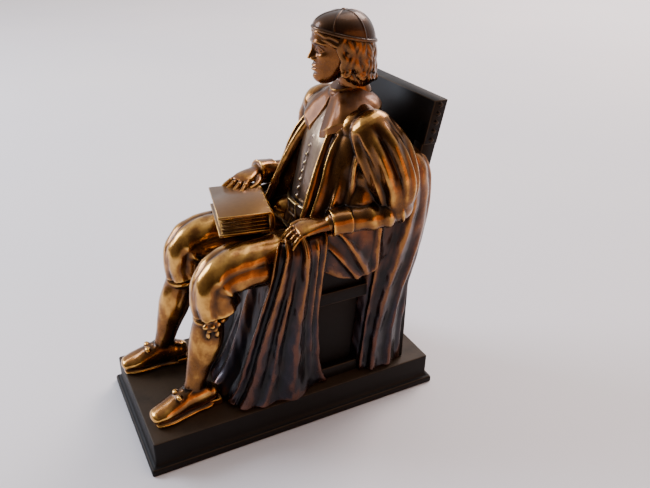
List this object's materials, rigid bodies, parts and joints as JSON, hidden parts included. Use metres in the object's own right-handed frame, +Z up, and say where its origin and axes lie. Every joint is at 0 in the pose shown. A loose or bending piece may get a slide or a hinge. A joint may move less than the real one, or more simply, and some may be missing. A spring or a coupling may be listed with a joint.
{
  "type": "figural bookend",
  "caption": "Cast-metal figural bookend: a robed scholar seated in a panel-back armchair, a closed book across the lap, on a moulded plinth.",
  "frame": {"origin": "middle of the plinth's underside", "axes": "+Z up, -Y the way the figure faces, +X at the figure's left hand"},
  "size_m": [0.106, 0.184, 0.2311],
  "materials": {
    "plinth_patina": "satin brown-black patina over cast metal",
    "figure_bronze": "antique bronze finish with dark hollows over cast metal"
  },
  "bodies": {
    "root": {"plinth": "plinth_patina", "seated_scholar": "figure_bronze"}
  },
  "joints": []
}
